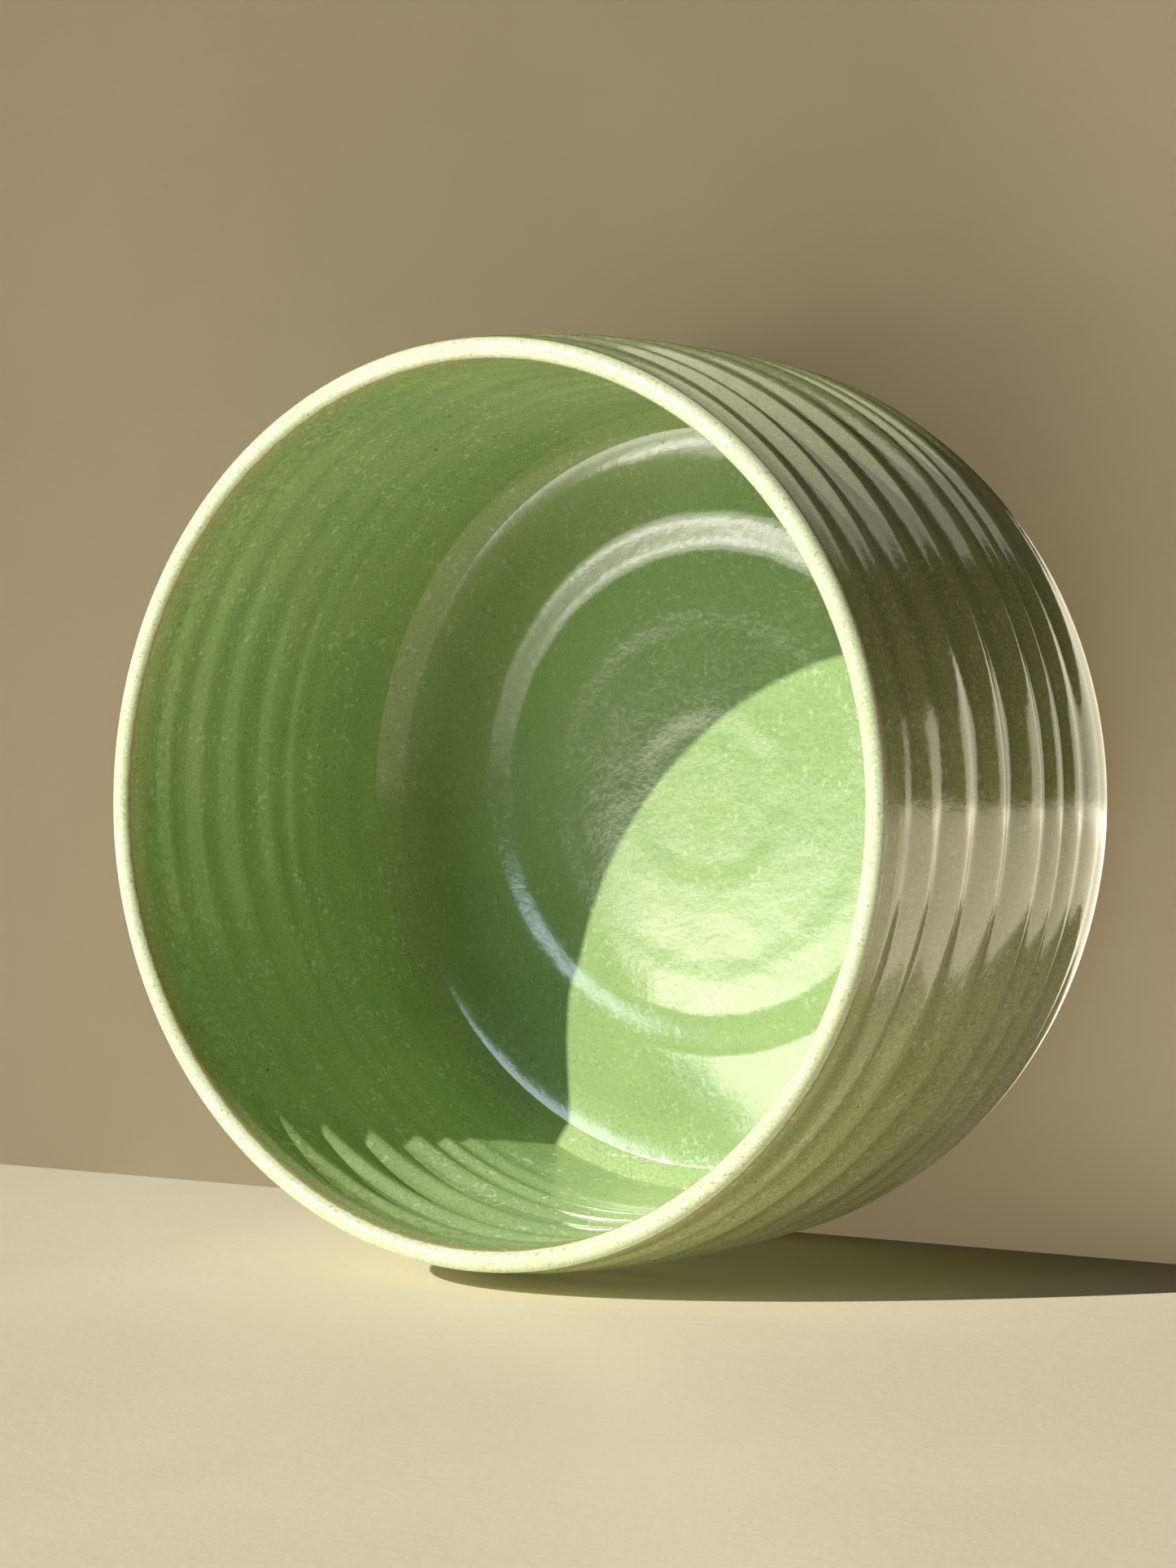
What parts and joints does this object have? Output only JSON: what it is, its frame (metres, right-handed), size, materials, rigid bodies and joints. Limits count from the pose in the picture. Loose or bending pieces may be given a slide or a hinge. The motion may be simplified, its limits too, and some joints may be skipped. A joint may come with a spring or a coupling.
{
  "type": "stoneware vase",
  "caption": "Low, wide-mouthed stoneware vase on a turned foot ring, with throwing ribs inside and out and a glossy green glaze that pales over the rounded lip.",
  "frame": {"origin": "centre of the circle that the foot ring stands on, at the height of the surface under it", "axes": "+Z is the turning axis, up through the mouth; +X and +Y are level, and any pair will do because the vase is round"},
  "size_m": [0.1466, 0.1466, 0.082],
  "materials": {
    "clay": "bare fired stoneware, matte, with turning marks",
    "outside_glaze": "glossy olive green glaze",
    "lip_glaze": "glossy pale yellow-green glaze, breaking to orange-brown at its edges",
    "inside_glaze": "glossy leaf green glaze with fine pale flecks"
  },
  "bodies": {
    "root": {"clay_body": "clay", "outside_glaze": "outside_glaze", "lip_glaze": "lip_glaze", "inside_glaze": "inside_glaze"}
  },
  "joints": []
}
